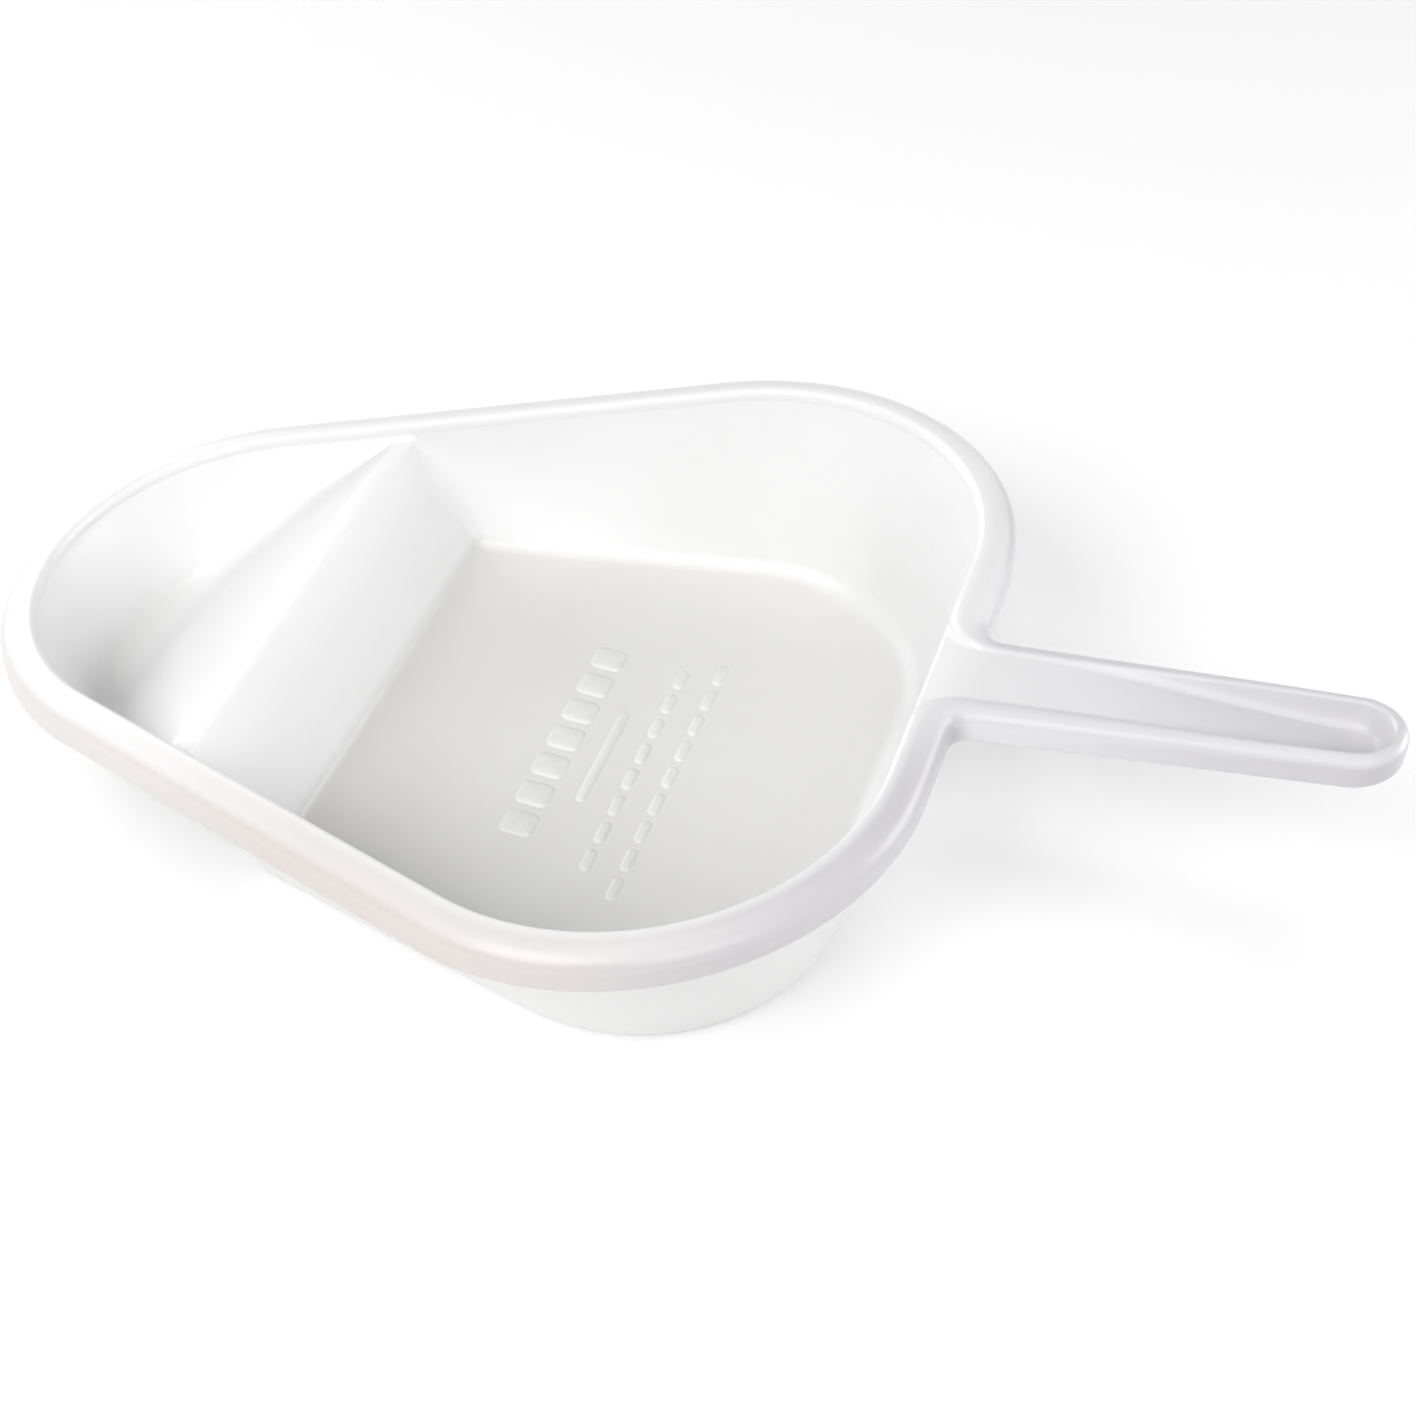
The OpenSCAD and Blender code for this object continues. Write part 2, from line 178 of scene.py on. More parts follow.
# The back follows the face inside the wall, and the skirt thins down to its hem
back_in = rim_width - wall
back_fold, back_fold_depth, back_shoulder_depth = 1.7, 4.2, 7.2
back_crest_in, back_crest_depth = back_in - back_fold, back_fold_depth - back_fold
skirt_top_in, skirt_end = 2.4, (2.0, 11.9)
hem_end = quarter((1.3, 11.9), 0.7, 0.6, 0, 90, 4)
rim_back = np.concatenate((
    [(back_in, lip_depth + wall)],
    down_line((back_in, lip_depth + wall), (back_in, back_fold_depth), 2),
    quarter((back_crest_in, back_fold_depth), back_fold, -back_fold, 0, 90, 8),
    quarter((back_crest_in, back_shoulder_depth), back_crest_in - skirt_top_in,
            back_crest_depth - back_shoulder_depth, 90, 180, 18),
    down_line((skirt_top_in, back_shoulder_depth), skirt_end, 4),
    hem_end,
))


def carried(section, distances):
    """The rim's section set square across the outline at each distance along it."""
    flat = np.stack([rim_edge.at(distances, -s) for s in section[:, 0]], 1)
    z = rim_z(flat[..., 0]) - section[:, 1]
    return np.concatenate((flat, z[..., None]), -1)


# ---------------------------------------------------------------------------------------------
# Basin walls. They are straight from the floor's edge up to the fold under the rim, and lean
# outwards for draft. Seen from above, the floor's edge follows the rim at a smaller radius round
# the nose, swings out under the divider, and follows the flanks and the rear corners.
# ---------------------------------------------------------------------------------------------
scoop_radius, scoop_turn = 54.0, math.radians(132)
floor_front_x = nose_x + 121.5
floor_rear_x = nose_x + 285.5
floor_corner_radius = 58.5
floor_front_half, floor_half_width = 79.5, 102.0
floor_corner = np.array((floor_front_x, floor_front_half))
floor_corner_centre = np.array((floor_rear_x - floor_corner_radius,
                                floor_half_width - floor_corner_radius))
base_margin, swing_reach, root_gap, split_gap, blend = 2.0, 28.0, 1.5, 3.5, 24
flank_side = facing(floor_corner, 0.0, floor_corner_centre, floor_corner_radius)
flank_bearing = np.array((math.cos(flank_side), math.sin(flank_side)))


def swing(p, p_heading, q, q_heading, reach):
    """A smooth curve from p to q that leaves and arrives on the given headings: a cubic with
    its two handles as long as the reach."""
    t = np.linspace(0, 1, 900)[:, None]
    a = p + reach * np.array((math.cos(p_heading), math.sin(p_heading)))
    b = q - reach * np.array((math.cos(q_heading), math.sin(q_heading)))
    return p * (1 - t) ** 3 + 3 * a * t * (1 - t) ** 2 + 3 * b * t * t * (1 - t) + q * t ** 3


scoop_arc = arc(nose_centre, scoop_radius, math.pi, scoop_turn)
floor_root_y = root_y - root_gap
floor_line = Outline([
    scoop_arc,
    swing(scoop_arc[-1], scoop_turn - math.pi / 2, floor_corner, flank_side - math.pi / 2,
          swing_reach),
    straight(floor_corner, floor_corner_centre + floor_corner_radius * flank_bearing),
    arc(floor_corner_centre, floor_corner_radius, flank_side, 0.0),
    straight((floor_rear_x, floor_corner_centre[1]), (floor_rear_x, floor_root_y)),
    straight((floor_rear_x, floor_root_y), (floor_rear_x, 0.0)),
])

# Places along the rim and along the floor's edge that lie on one line up the wall
flank_start_x = rim_edge.at(rim_edge.marks[0])[0]
rim_split = rim_edge.marks[0] + (floor_front_x - split_gap - flank_start_x) / math.sin(rim_side)
rim_knots = [0.0, (math.pi - scoop_turn) * nose_radius, rim_split, *rim_edge.marks[1:]]
floor_knots = [0.0, *floor_line.marks]


def matched(distance):
    """Distance along the floor's edge for one along the rim: straight runs between the knots,
    averaged over 24 mm either way so that the wall turns without a crease."""
    reach = np.linspace(-blend, blend, 49)
    end, floor_end = rim_knots[4], floor_knots[4]
    at = np.asarray(distance)[..., None] + reach
    folded = np.where(at < 0, -at, np.where(at > end, 2 * end - at, at))
    value = np.interp(folded, rim_knots, floor_knots)
    value = np.where(at < 0, -value, np.where(at > end, 2 * floor_end - value, value))
    return np.where(distance < end, value.mean(-1), np.interp(distance, rim_knots, floor_knots))


def raised(flat, z):
    """Points in plan given the heights z."""
    return np.concatenate((flat, np.broadcast_to(z, flat.shape[:-1])[..., None]), -1)


def wall_lines(distances, back):
    """Foot and top of the wall's straight line at each distance along the rim."""
    at_floor = matched(distances)
    if back:
        foot = raised(floor_line.at(at_floor, base_margin), 0.0)
        section = rim_back[0]
    else:
        foot = raised(floor_line.at(at_floor, 0.0), wall)
        section = rim_face[0]
    top = carried(section[None], distances)[:, 0]
    return foot, top


# ---------------------------------------------------------------------------------------------
# Divider. From the side it is one line: the scoop's flat toe, the ramp up to the narrow crown,
# the steep wall down into the basin and the basin's floor, with every corner rounded. Its
# underside is the same line a wall's thickness in, so it is open beneath.
# ---------------------------------------------------------------------------------------------
crown_drop = 5.7
ramp_x, crown_x, crown_length = nose_x + 40.0, nose_x + 92.5, 6.0
past_end = 20.0
upper_radii, under_radii = (14.0, 1.2, 1.3, 4.5), (16.0, 0.8, 0.8, 8.0)


def rounded(corners, radii):
    """A side view through these corners, each rounded by a circular arc of its radius that
    touches both of its lines. Returns it as heights at closely spaced x."""
    corners = np.asarray(corners, float)
    line = [corners[:1]]
    for before, corner, after, r in zip(corners[:-2], corners[1:-1], corners[2:], radii):
        u = (before - corner) / np.linalg.norm(before - corner)
        v = (after - corner) / np.linalg.norm(after - corner)
        half = math.acos(np.clip(u @ v, -1, 1)) / 2
        middle = corner + (u + v) / np.linalg.norm(u + v) * r / math.sin(half)
        touch = [corner + d * r / math.tan(half) - middle for d in (u, v)]
        spread = math.pi - 2 * half
        t = np.linspace(0, 1, 40)[:, None]
        line.append(middle + (touch[0] * np.sin((1 - t) * spread) + touch[1] * np.sin(t * spread))
                    / math.sin(spread))
    line.append(corners[-1:])
    return np.concatenate(line)


def crown_z(x):
    """Height of the divider's crown, a little below the rim's plane."""
    return rim_z(x) - crown_drop


upper = np.array((
    (nose_x - past_end, wall), (ramp_x, wall), (crown_x, crown_z(crown_x)),
    (crown_x + crown_length, crown_z(crown_x + crown_length)), (floor_front_x, wall),
    (rear_x + past_end, wall),
))


def inset_corner(before, corner, after, depth):
    """A corner of a line moved below both of its sides by the depth."""
    a, b = (math.atan2(q[1] - p[1], q[0] - p[0]) for p, q in ((before, corner), (corner, after)))
    turn = (a + b) / 2
    return corner + depth / math.cos((a - b) / 2) * np.array((math.sin(turn), -math.cos(turn)))


under = np.array([
    (nose_x - past_end, 0.0),
    *[inset_corner(*upper[i - 1:i + 2], wall) for i in range(1, 5)],
    (rear_x + past_end, 0.0),
])
upper_line = rounded(upper, upper_radii)
under_line = rounded(under, under_radii)


def side_z(x, back):
    """Height of the divider's side view, or its underside's, at x."""
    line = under_line if back else upper_line
    return np.interp(x, line[:, 0], line[:, 1])


def crease(distances, back):
    """Where the walls' straight lines meet the side view, found by halving 40 times."""
    foot, top = wall_lines(distances, back)
    low, high = np.zeros(len(foot)), np.ones(len(foot))
    for _ in range(40):
        middle = (low + high) / 2
        p = foot + (top - foot) * middle[:, None]
        above = p[:, 2] > side_z(p[:, 0], back) + 1e-9
        low, high = np.where(above, low, middle), np.where(above, middle, high)
    return foot + (top - foot) * high[:, None]


# Stations round the left half lie closer together where the crease climbs the divider or turns
trial = np.linspace(0, rim_knots[4], 6000)
trial_crease = crease(trial, False)
strides = np.diff(trial_crease, axis=0)
lengths = np.linalg.norm(strides, axis=1)
headings = strides / lengths[:, None]
turns = np.arccos(np.clip((headings[1:] * headings[:-1]).sum(1), -1, 1))
weight = 0.6 * np.diff(trial) + lengths + 12.0 * np.concatenate(([0.0], turns))
share = np.concatenate(([0.0], np.cumsum(weight)))
round_stations = np.interp(np.linspace(0, share[-1], 281), share, trial)
root_steps, web_steps = 8, 16
rear_stations = np.linspace(rim_knots[4], rim_knots[5], root_steps + 1)[1:]
web_stations = np.linspace(rim_knots[5], rim_knots[6], web_steps + 1)[1:]
stations = np.concatenate((round_stations, rear_stations, web_stations))
round_end = len(round_stations) - 1
root_start = round_end + root_steps

# Radius of the fillet between the walls and what they stand on: wide round the basin floor and
# down the divider's steep wall, tight along the ramp and the crown, and wider in the scoop
fillet_knots_x = nose_x + np.array((28, 42, 60, 92, 99, 103, 108, 116, 120, 130, 235, 285))
fillet_radii = np.array((6.0, 5.0, 2.5, 1.6, 1.9, 5.0, 8.0, 6.0, 4.5, 5.5, 7.0, 9.5))


def unit(v):
    """Vectors of length 1 in the same directions."""
    return v / np.linalg.norm(v, axis=-1, keepdims=True)


def fillet(back, count=9):
    """Round the crease. In the plane square to it, a circle touches the sheet on one side and
    the wall on the other; the points go along the circle from the sheet to the wall."""
    foot, top = wall_lines(stations, back)
    corner = crease(stations, back)
    along = np.gradient(corner, axis=0)
    along[0] = (0, 1, 0)
    along[round_end:] = (0, -1, 0)
    along = unit(along)
    slope = (side_z(corner[:, 0] + 0.05, back) - side_z(corner[:, 0] - 0.05, back)) / 0.1
    sheet_up = unit(np.stack((-slope, np.zeros_like(slope), np.ones_like(slope)), 1))
    wall_run = np.gradient(foot + top, axis=0)
    wall_in = unit(np.cross(wall_run, top - foot))
    wall_in[round_end:] = wall_in[round_end]
    inwards = unit(np.cross(along, sheet_up))
    upwards = unit(np.cross(wall_in, along))
    radius = np.interp(corner[:, 0], fillet_knots_x, fillet_radii)[:, None] * (0.75 if back else 1)
    half = np.arccos(np.clip((inwards * upwards).sum(1, keepdims=True), -1, 1)) / 2
    middle = corner + unit(inwards + upwards) * radius / np.sin(half)
    start = corner + inwards * radius / np.tan(half) - middle
    end = corner + upwards * radius / np.tan(half) - middle
    spread = math.pi - 2 * half[:, None]
    t = np.linspace(0, 1, count)[None, :, None]
    ring = middle[:, None] + (start[:, None] * np.sin((1 - t) * spread)
                              + end[:, None] * np.sin(t * spread)) / np.sin(spread)
    on_sheet = side_z(ring[:, :1, 0], back)[..., None] - ring[:, :1, 2:]
    ring[..., 2:] += on_sheet * (1 - t) ** 2
    ring[0, :, 1] = 0.0
    return ring, top


def wall_grid(back, rows=12):
    """Rows of a wall: round the fillet, then straight up to the fold under the rim."""
    ring, top = fillet(back)
    t = np.linspace(0, 1, rows + 1)[None, 1:, None]
    rise = ring[:, -1:] * (1 - t) + top[:, None] * t
    return np.concatenate((ring, rise), 1)


walls = [wall_grid(False), wall_grid(True)]
rims = [carried(section, stations[:root_start + 1]) for section in (rim_face, rim_back)]

# Stations across the middle of the pan, as shares of the half width there
rear_shares = np.abs(walls[0][round_end:, 0, 1]) / walls[0][round_end, 0, 1]
shares = np.concatenate((-rear_shares, rear_shares[-2::-1]))


def middle_grid(back):
    """Straight rows across the pan between the two fillets, each at its own x."""
    edge = walls[back][:round_end + 1, 0]
    across = edge[:, None, 1] * shares
    x = np.broadcast_to(edge[:, None, 0], across.shape)
    return np.stack((x, across, side_z(x, back)), -1)


middles = [middle_grid(False), middle_grid(True)]


# ---------------------------------------------------------------------------------------------
# Making a panel. Each panel of the moulding is a closed shell between a stretch of its face and
# the same stretch of its back. Panels share their edge points, so they join without a step.
# ---------------------------------------------------------------------------------------------
panels = []


def flipped(grid):
    """Mirror image on the other side of the pan, with its rows in the opposite order."""
    return grid[::-1] * np.array((1.0, -1.0, 1.0))


def both_sides(grid):
    """A left half and its mirror image as one grid, when its first row lies on the middle."""
    return np.concatenate((flipped(grid)[:-1], grid))


def eased(t):
    """A smooth step from 0 to 1, 3 t squared less 2 t cubed."""
    t = np.clip(t, 0, 1)
    return t * t * (3 - 2 * t)


def crest_and_skirt(section, crest):
    """Two shares for each point of a section. The first is 1 up to 7 mm in from the outer edge
    and 0 from 11 mm in, in the fold. The second is 0 down to 1.7 mm below the crest and 1 from
    3.1 mm below it down, over the skirt."""
    outside = np.clip((11.0 - section[:, 0]) / 4.0, 0, 1)
    return outside, (section[:, 0] < 5) * np.clip((section[:, 1] - crest - 1.7) / 1.4, 0, 1)


def rim_painted_shade(face):
    """Painted shade on the rim. The skirt gets painted shade, more towards the rear. The crest gets
    little, but more at the tip of the nose, along the right side towards the rear, and at the
    left rear corner."""
    outside, skirt = crest_and_skirt(rim_face, 0.0)
    back = face[..., 0] - nose_x
    rearward = eased((back - 50) / 130)
    right_shade = 1.2 * rearward + 0.8 * eased((back - 240) / 50)
    crest = 0.1 + 0.5 * (1 - eased(back / 50)) + right_shade * eased(-face[..., 1] / 60)
    crest += 0.6 * eased((back - 290) / 15) * eased(1 + face[..., 1] / 60)
    return outside * (crest + (1.35 + 0.8 * rearward - crest) * skirt)


def low_painted_shade(face):
    """Painted shade on the low parts: 1 on the basin floor and more towards the divider's foot, 0.5
    in the scoop, fading to 0 at 6 mm above them."""
    beyond = face[..., 0] - floor_front_x
    depth = np.where(beyond > -15, 1 + 0.8 * np.exp(-np.abs(beyond) / 22), 0.5)
    return depth * np.clip(1 - (face[..., 2] - wall) / 6.0, 0, 1) ** 2


def wall_painted_shade(face):
    """Painted shade on a wall inside and outside. Inside it is the low parts' painted shade, or up
    to 0.7 low in the rear corners where that is more, less 0.4 as painted light beside the ramp.
    Outside it is an even painted shade of 0.6."""
    back, height = face[..., 0] - nose_x, face[..., 2] - wall
    ramp_side = eased((back - 40) / 14) * (1 - eased((back - 88) / 16))
    corner = eased((back - 150) / 60) * (1 - eased((back - 255) / 35)) * (1 - eased(height / 60))
    inside = np.maximum(low_painted_shade(face), 0.7 * corner) - 0.4 * ramp_side
    return inside, np.full(face.shape[:2], 0.6)


def panel(name, face, back, painted_shade, open_end=False):
    """A closed shell. Its triangles are the face's and the back's quads, each cut in two, and a
    strip round the four edges. The last column's strip is a real surface where open_end is true;
    the others only close the shell against its neighbour. The painted shade given is the amount of
    painted shade at each point of the face and the back alike, or a pair with one for each."""
    rows, columns = face.shape[:2]
    index = np.arange(rows * columns).reshape(rows, columns)
    count = rows * columns

    def quads(a, b, c, d):
        return np.concatenate((np.stack((a, b, c), -1).reshape(-1, 3),
                               np.stack((a, c, d), -1).reshape(-1, 3)))

    a, b, c, d = index[:-1, :-1], index[1:, :-1], index[1:, 1:], index[:-1, 1:]
    skin = [quads(a, b, c, d), quads(d, c, b, a) + count]
    first, last = index[:, 0], index[:, -1]
    head, tail = index[0], index[-1]
    outer = quads(last[:-1], last[1:], last[1:] + count, last[:-1] + count)
    cuts = [
        quads(first[1:], first[:-1], first[:-1] + count, first[1:] + count),
        quads(head[:-1], head[1:], head[1:] + count, head[:-1] + count),
        quads(tail[1:], tail[:-1], tail[:-1] + count, tail[1:] + count),
    ]
    (skin if open_end else cuts).append(outer)
    skin, cuts = np.concatenate(skin), np.concatenate(cuts)
    points = np.concatenate((face.reshape(-1, 3), back.reshape(-1, 3)))
    keys, first_seen, same = np.unique(
        np.round(points * 1e4).astype(np.int64), axis=0, return_index=True, return_inverse=True)
    triangles = same.reshape(-1)[np.concatenate((skin, cuts))]
    is_skin = np.arange(len(triangles)) < len(skin)
    whole = (triangles != np.roll(triangles, 1, 1)).all(1)
    triangles, is_skin = triangles[whole], is_skin[whole]
    mesh = bpy.data.meshes.new(name)
    mesh.from_pydata((keys * 1e-4 * MM).tolist(), [], triangles.tolist())
    mesh.validate()
    # Painted shade: an amount for each point, kept as an attribute that darkens the base colour.
    painted_shade = painted_shade if isinstance(painted_shade, tuple) else (painted_shade, painted_shade)
    shade_values = np.stack([np.broadcast_to(g, (rows, columns)) for g in painted_shade]).reshape(-1)[first_seen]
    mesh.attributes.new("painted_shade", "FLOAT", "POINT").data.foreach_set("value", shade_values)
    # Share towards the handle, which moves painted shade from its warm front tint to its cool rear
    # tint.
    rearward = eased((keys[:, 0] * 1e-4 - nose_x - 190) / 130)
    mesh.attributes.new("rearward", "FLOAT", "POINT").data.foreach_set("value", rearward)
    piece = bpy.data.objects.new("white_" + name, mesh)
    bpy.context.scene.collection.objects.link(piece)
    panels.append((piece, keys, triangles, is_skin))
    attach(piece, "root")
    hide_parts(name)


def row_at(x):
    """The row of the middle whose x comes nearest."""
    return int(np.abs(middles[0][:, 0, 0] - x).argmin())


def station_at(mark):
    """The station nearest to this distance along the rim."""
    return int(np.abs(stations - mark).argmin())


# The floors, the ramp, the crown and the steep wall behind it
row_marks = [0, *[row_at(x) for x in (ramp_x, crown_x, crown_x + crown_length, floor_front_x)],
             round_end]
for name, start, end in zip(
    ("scoop_floor", "scoop_ramp", "divider_crown", "divider_wall", "basin_floor"),
    row_marks[:-1], row_marks[1:],
):
    face, back = [grid[start:end + 1] for grid in middles]
    height = face[..., 2] - wall
    # Painted shade added to the ramp above its foot, and painted light, as less shade, on the crown
    # and the top of the divider's wall.
    shade_change = {"scoop_ramp": 0.4 * np.clip(height / 6, 0, 1), "divider_crown": -0.3,
            "divider_wall": -0.3 * np.clip((height - 22) / 15, 0, 1)}.get(name, 0.0)
    panel(name, face, back, painted_shade=low_painted_shade(face) + shade_change)

# The walls round the nose, along the flanks and round the rear corners, and the rim above each
flank_start, corner_start = station_at(rim_edge.marks[0]), station_at(rim_edge.marks[1])
nose_part = slice(0, flank_start + 1)
face, back = [both_sides(grid[nose_part]) for grid in walls]
panel("nose_wall", face, back, painted_shade=wall_painted_shade(face))
face, back = [both_sides(grid[nose_part]) for grid in rims]
panel("nose_rim", face, back, open_end=True, painted_shade=rim_painted_shade(face))
for stretch, start, end in (("side", flank_start, corner_start),
                            ("corner", corner_start, root_start)):
    rim_name = "rim" if stretch == "side" else "corner_rim"
    for hand, turned in (("left_", lambda grid: grid), ("right_", flipped)):
        face, back = [turned(grid[start:end + 1]) for grid in walls]
        panel(hand + stretch + "_wall", face, back, painted_shade=wall_painted_shade(face))
        face, back = [turned(grid[start:end + 1]) for grid in rims]
        panel(hand + rim_name, face, back, open_end=True, painted_shade=rim_painted_shade(face))


# ---------------------------------------------------------------------------------------------
# Handle. A flat trough carries on from the rear rim, its edge a little below the rim's plane.
# The rim's section turns the hollow corners at the root and changes into the handle's as it
# goes; the trough's floor starts level with the lip of the basin and falls towards the tip.
# ---------------------------------------------------------------------------------------------
root_radius = 6.0
root_points, grip_points, tip_points = 17, 41, 25
handle_x = rear_x + root_radius
root_centre = np.array((handle_x, root_y))
tip_radius = tip_hi.y / MM
tip_centre = np.array((tip_hi.x / MM - tip_radius, 0.0))
edge_drop, edge_reach = 2.5, 8.6
root_depth, trough_depth, trough_run = 3.1, 10.0, 105
root_shoulder, tip_shoulder, shoulder_run = 5.6, 3.6, 90


def trough_drop(x):
    """Drop of the trough's floor below the rim's plane."""
    return root_depth + (trough_depth - root_depth) * eased((x - handle_x - 4) / trough_run)


def shoulder(x):
    """Radius of the edge's outer shoulder, wide like the rim's at the root, narrow at the tip."""
    return root_shoulder + (tip_shoulder - root_shoulder) * eased((x - handle_x) / shoulder_run)


def bow(p0, p1, p2, p3, count):
    """A cubic curve of a section from p0 to p3, steered by p1 and p2."""
    t = np.linspace(0, 1, count + 1)[:, None]
    p0, p1, p2, p3 = (np.asarray(p, float) for p in (p0, p1, p2, p3))
    return p0 * (1 - t) ** 3 + 3 * p1 * t * (1 - t) ** 2 + 3 * p2 * t * t * (1 - t) + p3 * t ** 3


def handle_face(x):
    """Section of the handle's edge at this distance along it."""
    drop, round_off = trough_drop(x), shoulder(x)
    run, shoulder_end = edge_reach - round_off, edge_drop + round_off
    return np.concatenate((
        bow((edge_reach, drop), (edge_reach - 0.64 * run, drop),
            (edge_reach - 0.68 * run, edge_drop), (round_off, edge_drop), 10),
        quarter((round_off, shoulder_end), round_off, -round_off, 90, 180, 18),
        down_line((0.0, shoulder_end), (0.0, hem_depth), 4),
        quarter((hem_radius, hem_depth), hem_radius, hem_radius, 180, 90, 4),
    ))


def handle_back(x):
    """Underside of the same edge, which leaves a narrow groove inside the skirt."""
    under_trough, groove_end = trough_drop(x) + 2.3, edge_drop + 3.8
    return np.concatenate((
        bow((edge_reach, under_trough), (4.6, under_trough), (3.4, edge_drop + 4.0),
            (3.2, edge_drop + 2.6), 10),
        quarter((3.2, groove_end), 1.0, -1.2, 90, 180, 18),
        down_line((2.2, groove_end), skirt_end, 4),
        hem_end,
    ))


def handle_rows(edge, inwards, share, back):
    """The section set across the handle's edge at each point, part way from the rim's section
    to the handle's own by the share given."""
    section, rim = (handle_back, rim_back) if back else (handle_face, rim_face)
    own = np.stack([section(x) for x in edge[:, 0]])
    mixed = rim * (1 - share[:, None, None]) + own * share[:, None, None]
    flat = edge[:, None] + inwards[:, None] * mixed[..., :1]
    return np.concatenate((flat, (rim_z(flat[..., 0]) - mixed[..., 1])[..., None]), -1)


root_turn = np.linspace(math.pi, 1.5 * math.pi, root_points)
root_in = np.stack((np.cos(root_turn), np.sin(root_turn)), 1)
root_edge = root_centre + root_radius * root_in
root_share = eased(np.linspace(0, 1, root_points))
grip_x = np.linspace(handle_x, tip_centre[0], grip_points)
grip_half = np.interp(grip_x, (handle_x, tip_centre[0]), (root_y - root_radius, tip_radius))
grip_edge = np.stack((grip_x, grip_half), 1)
grip_in = np.broadcast_to((0.0, -1.0), grip_edge.shape)
tip_turn = np.linspace(math.pi / 2, 0, tip_points)
tip_in = -np.stack((np.cos(tip_turn), np.sin(tip_turn)), 1)
tip_edge = tip_centre - tip_radius * tip_in

roots, grips, tips = ([handle_rows(edge, inwards, share, back) for back in (False, True)]
                      for edge, inwards, share in (
                          (root_edge, root_in, root_share),
                          (grip_edge, grip_in, np.ones(grip_points)),
                          (tip_edge, tip_in, np.ones(tip_points))))
own_face = handle_face(tip_centre[0])


def trough_painted_shade(x):
    """Painted shade in the trough: 0.8 by the root, and 1.9 in the deep end by the tip."""
    return 0.8 + 1.1 * eased((x - handle_x) / trough_run)[:, None]


def edge_painted_shade(edge):
    """Painted shade on the handle's edge: the crest's, the skirt's, which rises towards the tip, and
    the trough's inside the crest."""
    _, skirt = crest_and_skirt(own_face, edge_drop)
    inside = np.clip((own_face[:, 0] - tip_shoulder) / 2.5, 0, 1)
    outer = 1.6 + (eased((edge[:, :1] - handle_x) / trough_run) - 0.2) * skirt
    return outer * (1 - inside) + trough_painted_shade(edge[:, 0]) * inside


for hand, turned in (("left_", lambda grid: grid), ("right_", flipped)):
    order = -1 if hand == "right_" else 1
    # Painted shade at the root blends from the rim's into the handle edge's.
    start, own = rim_painted_shade(turned(roots[0])), edge_painted_shade(root_edge)[::order]
    panel(hand + "handle_root", *[turned(g) for g in roots], open_end=True,
          painted_shade=start + (own - start) * root_share[::order, None])
    panel(hand + "handle_edge", *[turned(g) for g in grips], open_end=True,
          painted_shade=edge_painted_shade(grip_edge)[::order])
for grid in tips:
    grid[-1, :, 1] = 0.0
tip_painted_shade = edge_painted_shade(tip_edge)
panel("handle_tip", *[both_sides(flipped(grid)) for grid in tips], open_end=True,
      painted_shade=np.concatenate((tip_painted_shade, tip_painted_shade[-2::-1])))

# The rear wall ends in a rounded lip where the root of the handle leaves it
lip_radius = 1.8
web_shares = np.linspace(1, 0, web_steps + 1)
web_shares = np.concatenate((-web_shares, web_shares[-2::-1]))
lip_reach = lip_radius * (1 - web_shares ** 4)
rear = [both_sides(grid[root_start:][::-1])[::-1] for grid in walls]
top = rear[0][:, -1]
down = unit(rear[0][:, -2] - top)
behind = unit(np.array((1.0, 0.0, rim_z(1.0) - rim_z(0.0))))
t = np.linspace(0, 1, 7)[None, :, None]
reach = lip_reach[::-1, None, None]
lip = top[:, None] + reach * (down[:, None] * (1 - t) ** 2 + behind * t ** 2)
rear_face = np.concatenate((rear[0][:, :-1], lip), 1)
rear_face[:, -8] = (rear_face[:, -9] + rear_face[:, -7]) / 2
last = rear[1][:, -1:]
rear_back = np.concatenate((rear[1][:, :-1], last + (rear[1][:, -2:-1] - last) * (1 - t) * 0.8), 1)
panel("rear_wall", rear_face, rear_back, painted_shade=wall_painted_shade(rear_face))


def web_rows(edge, lead):
    """Rows across the handle between the inner ends of its edges. Lead moves the first rows
    back from the basin, to meet the rounded lip."""
    x = np.broadcast_to(edge[:, None, 0], (len(edge), len(web_shares))) + lead
    y = edge[:, None, 1] * web_shares
    drop = rim_z(edge[:, 0]) - edge[:, 2]
    return np.stack((x, y, rim_z(x) - drop[:, None]), -1)


fade = 1 - np.linspace(0, 1, root_points)[:, None] ** 2
root_web = [web_rows(roots[0][:, 0], fade * lip_reach), web_rows(roots[1][:, 0], 0.0)]
# Painted shade in the trough, fading to none at the basin's lip.
panel("handle_root_web", *root_web, painted_shade=trough_painted_shade(roots[0][:, 0, 0]) * root_share[:, None])
trough = [web_rows(np.concatenate((g[:, 0], e[1:, 0])), 0.0) for g, e in zip(grips, tips)]
panel("handle_trough_floor", *trough, painted_shade=trough_painted_shade(trough[0][:, 0, 0]))


# ---------------------------------------------------------------------------------------------
# Raised bars. Low round-cornered bars stand on the basin floor in four rows across it, moulded
# in one with the floor: seven broad ones, one long one, and two rows of short dashes.
# ---------------------------------------------------------------------------------------------
bars_lo, bars_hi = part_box("floor_bars")
bar_height = (bars_hi.z - bars_lo.z) / MM
# Distance from the nose, middle of the row, how many, spacing, length and width of each
bar_rows = (
    (184.0, 1.5, 7, 13.0, 10.0, 11.0),
    (198.0, -2.0, 1, 0.0, 42.0, 3.6),
    (209.5, -2.5, 8, 12.0, 9.4, 3.8),
    (221.0, -3.5, 9, 12.3, 9.7, 3.8),
)
# Steps of a bar's edge, from underneath to the middle of its top: inset and share of its height
bar_edge = ((9.0, -0.2), (0.0, -0.2), (0.0, 0.05), (0.3, 0.3), (0.7, 0.75), (1.1, 1.0), (9.0, 1.0))
# Largest corner radius, and the even painted shade on the bars.
largest_bar_radius, bar_painted_shade = 2.4, 0.85


